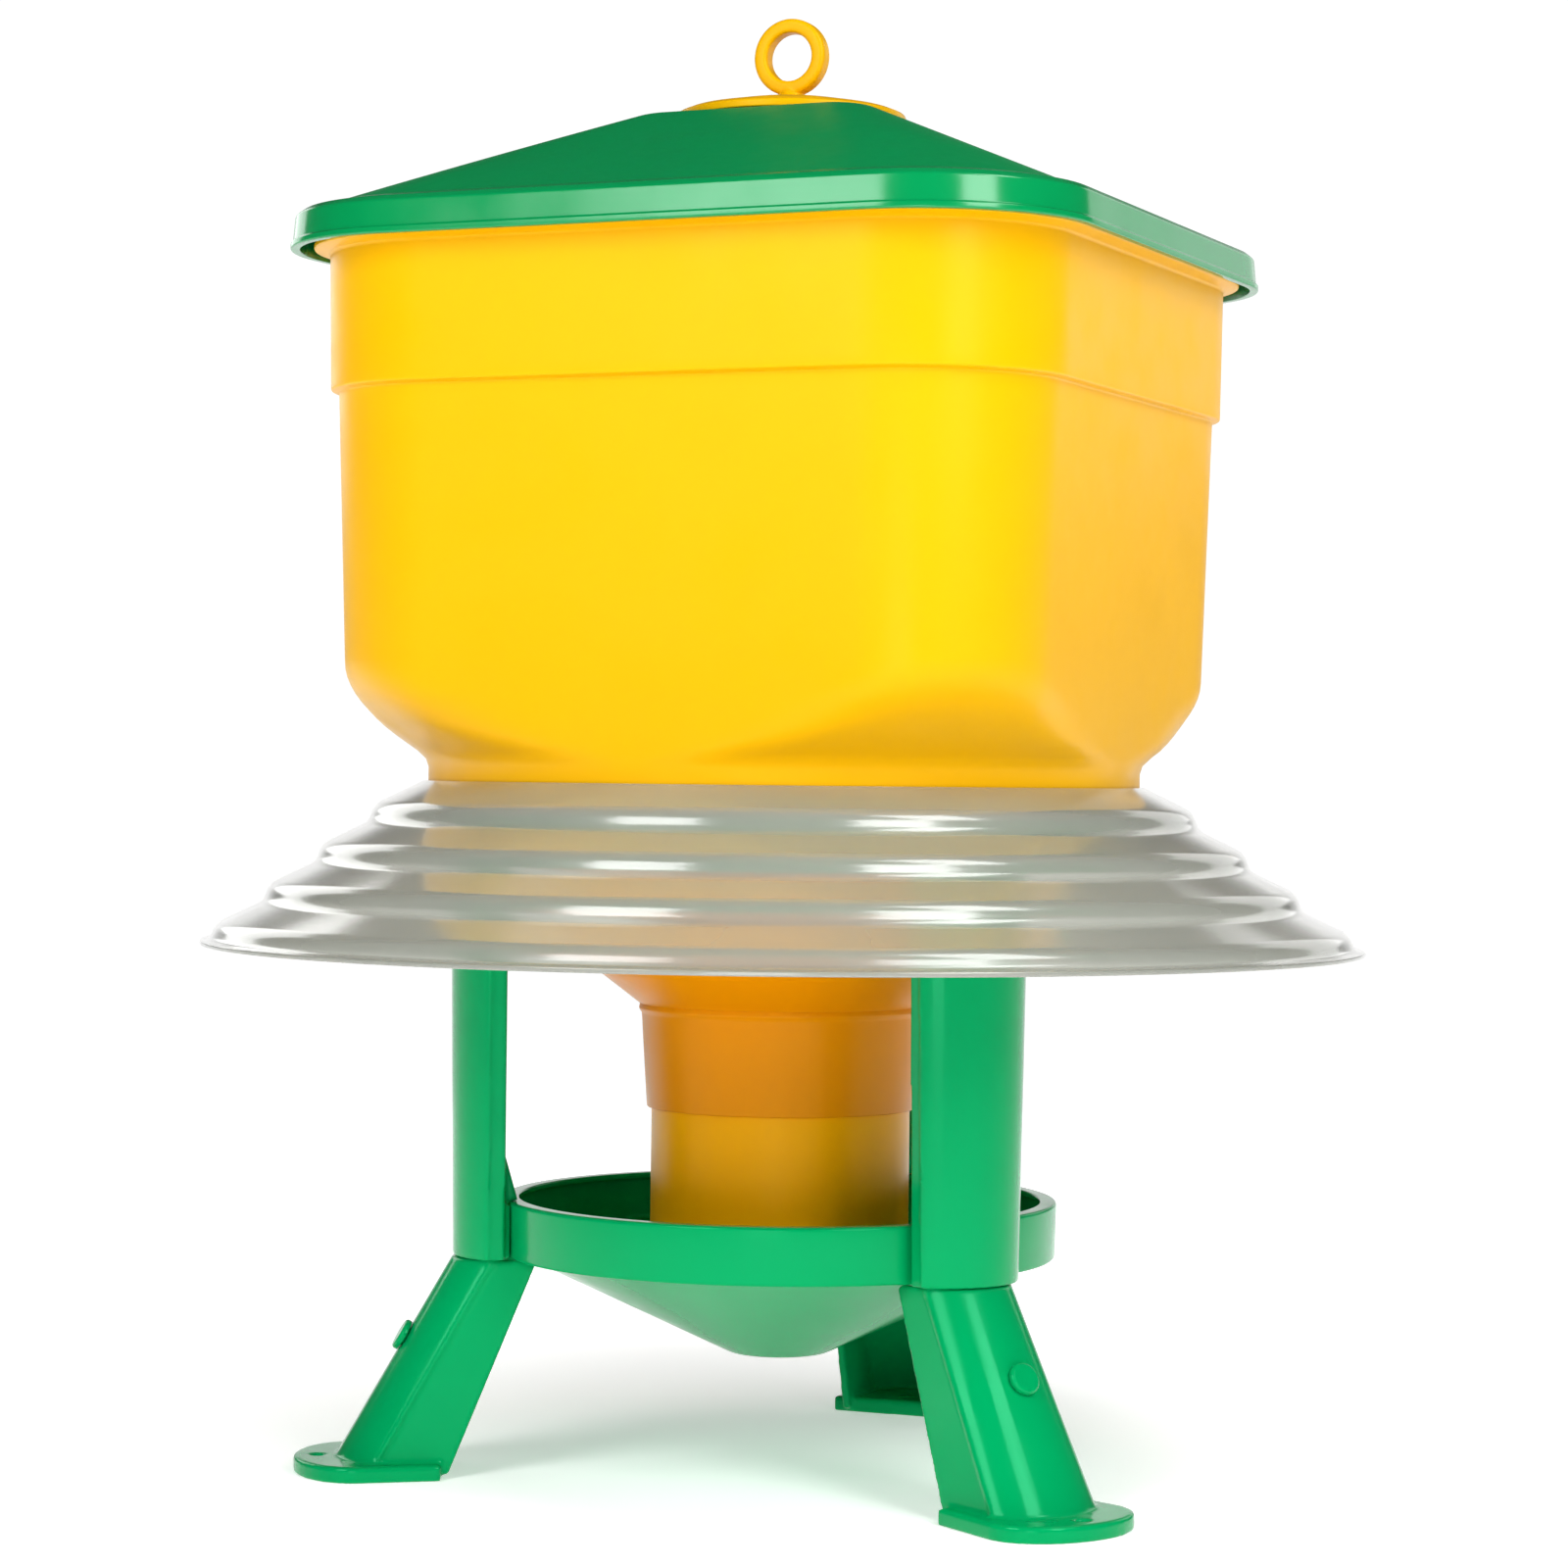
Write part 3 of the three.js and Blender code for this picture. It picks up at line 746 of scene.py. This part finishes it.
def camera_axes():
    forward = Vector((-math.sin(CAMERA_AZIMUTH), math.cos(CAMERA_AZIMUTH), 0))
    right = Vector((math.cos(CAMERA_AZIMUTH), math.sin(CAMERA_AZIMUTH), 0))
    up = Vector((0, 0, 1))
    look = forward * math.cos(CAMERA_PITCH) + up * math.sin(CAMERA_PITCH)
    lift = up * math.cos(CAMERA_PITCH) - forward * math.sin(CAMERA_PITCH)
    rolled_right = right * math.cos(CAMERA_ROLL) + lift * math.sin(CAMERA_ROLL)
    rolled_up = lift * math.cos(CAMERA_ROLL) - right * math.sin(CAMERA_ROLL)
    return forward, right, rolled_right, rolled_up, look


def build_camera():
    forward, _, right, up, look = camera_axes()
    data = bpy.data.cameras.new("camera")
    data.lens = CAMERA_LENS
    data.sensor_width = CAMERA_SENSOR
    camera = bpy.data.objects.new("camera", data)
    rotation = Matrix((right, up, -look)).transposed().to_4x4()
    location = -forward * CAMERA_DISTANCE + Vector((0, 0, CAMERA_HEIGHT))
    camera.matrix_world = Matrix.Translation(location) @ rotation
    bpy.context.scene.collection.objects.link(camera)
    bpy.context.scene.camera = camera


def build_world(forward):
    """A lit white cove behind the object and a dim room round it. What is seen past it all is white."""
    world = bpy.data.worlds.new("studio")
    bpy.context.scene.world = world
    world.use_nodes = True
    nodes = world.node_tree.nodes
    links = world.node_tree.links
    direction = nodes.new("ShaderNodeTexCoord").outputs["Generated"]
    facing = nodes.new("ShaderNodeVectorMath")
    facing.operation = "DOT_PRODUCT"
    facing.inputs[1].default_value = forward
    links.new(direction, facing.inputs[0])
    split = nodes.new("ShaderNodeSeparateXYZ")
    links.new(direction, split.inputs["Vector"])
    behind = spread(nodes, links, facing.outputs["Value"], 0.86, 0.95, 0, 1)
    below = spread(nodes, links, split.outputs["Z"], 0.22, 0.35, 1, 0)
    cove = nodes.new("ShaderNodeMath")
    cove.operation = "MULTIPLY"
    links.new(behind, cove.inputs[0])
    links.new(below, cove.inputs[1])
    strength = spread(nodes, links, cove.outputs["Value"], 0, 1, ROOM_LIGHT, COVE_LIGHT)
    seen = nodes.new("ShaderNodeMix")
    seen.inputs["B"].default_value = COVE_LIGHT
    links.new(nodes.new("ShaderNodeLightPath").outputs["Is Camera Ray"], seen.inputs["Factor"])
    links.new(strength, seen.inputs["A"])
    background = nodes["Background"]
    background.inputs["Color"].default_value = (1, 1, 1, 1)
    links.new(seen.outputs["Result"], background.inputs["Strength"])


def build_studio():
    build_floor()
    forward, right, *_ = camera_axes()
    build_world(forward)
    middle = Vector((0, 0, 0.4))
    for name, degrees, distance, lift, width, height, power in SOFTBOXES:
        angle = math.radians(degrees)
        away = right * math.sin(angle) - forward * math.cos(angle)
        place_at = middle + away * distance + Vector((0, 0, lift))
        area_light(name, place_at, middle, width, height, power)
    bpy.context.scene.view_settings.view_transform = "Standard"


build_lid()
build_cap()
build_eye()
build_tub()
build_funnel()
build_neck()
build_sleeve()
build_shield()
build_ring()
build_pan()
for where in LEG_PLACES:
    build_stand_corner(where)
build_studio()
build_camera()
